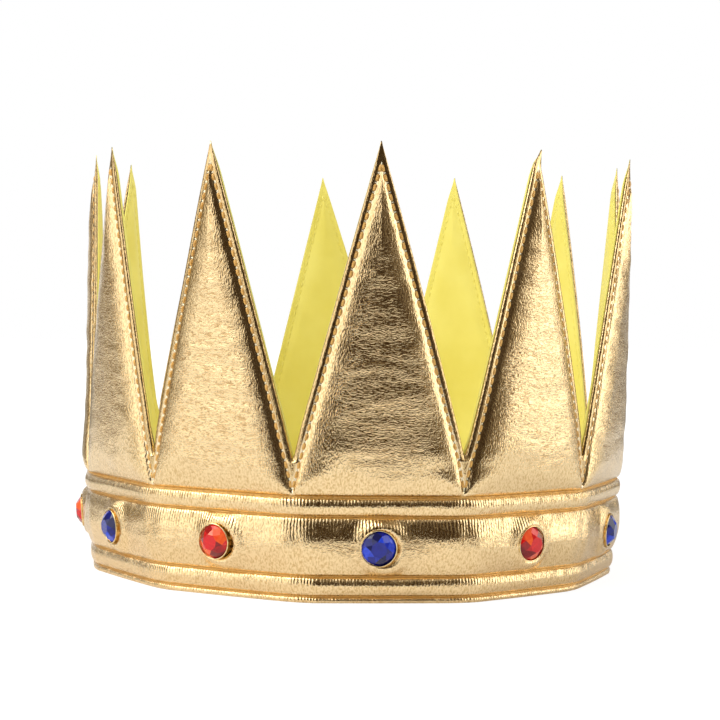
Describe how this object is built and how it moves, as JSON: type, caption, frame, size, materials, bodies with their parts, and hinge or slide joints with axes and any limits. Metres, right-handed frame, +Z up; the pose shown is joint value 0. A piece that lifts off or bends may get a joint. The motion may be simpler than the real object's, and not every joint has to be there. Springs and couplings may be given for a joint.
{
  "type": "costume crown",
  "caption": "Padded and stitched gold leatherette costume crown with pointed panels, yellow lining and faceted gems set round its band.",
  "frame": {"origin": "middle of the head opening, on the plane of the hem", "axes": "+Z up towards the points, +Y from the front panel to the back panel, +X to the right of someone who faces the front panel"},
  "size_m": [0.177, 0.2082, 0.1298],
  "materials": {
    "gold_leatherette": "metallic grained",
    "padding": "white wadding",
    "yellow_lining": "matte",
    "gold_thread": "waxed twist",
    "blue_gem": "polished facets",
    "red_gem": "polished facets",
    "gold_setting": "polished"
  },
  "bodies": {
    "root": {"cover": "gold_leatherette", "padding": "padding", "lining": "yellow_lining", "edge_thread": "gold_thread", "edge_bobbin_thread": "gold_thread", "closing_thread": "gold_thread", "hem_seam_thread": "gold_thread", "hem_seam_bobbin_thread": "gold_thread", "lower_seam_thread": "gold_thread", "lower_seam_bobbin_thread": "gold_thread", "upper_seam_thread": "gold_thread", "upper_seam_bobbin_thread": "gold_thread", "top_seam_thread": "gold_thread", "top_seam_bobbin_thread": "gold_thread", "gem_01": "blue_gem", "gem_setting_01": "gold_setting", "rivet_back_01": "gold_setting", "gem_02": "red_gem", "gem_setting_02": "gold_setting", "rivet_back_02": "gold_setting", "gem_03": "blue_gem", "gem_setting_03": "gold_setting", "rivet_back_03": "gold_setting", "gem_04": "red_gem", "gem_setting_04": "gold_setting", "rivet_back_04": "gold_setting", "gem_05": "blue_gem", "gem_setting_05": "gold_setting", "rivet_back_05": "gold_setting", "gem_06": "red_gem", "gem_setting_06": "gold_setting", "rivet_back_06": "gold_setting", "gem_07": "blue_gem", "gem_setting_07": "gold_setting", "rivet_back_07": "gold_setting", "gem_08": "red_gem", "gem_setting_08": "gold_setting", "rivet_back_08": "gold_setting", "gem_09": "blue_gem", "gem_setting_09": "gold_setting", "rivet_back_09": "gold_setting", "gem_10": "red_gem", "gem_setting_10": "gold_setting", "rivet_back_10": "gold_setting", "gem_11": "blue_gem", "gem_setting_11": "gold_setting", "rivet_back_11": "gold_setting", "gem_12": "red_gem", "gem_setting_12": "gold_setting", "rivet_back_12": "gold_setting"}
  },
  "joints": []
}
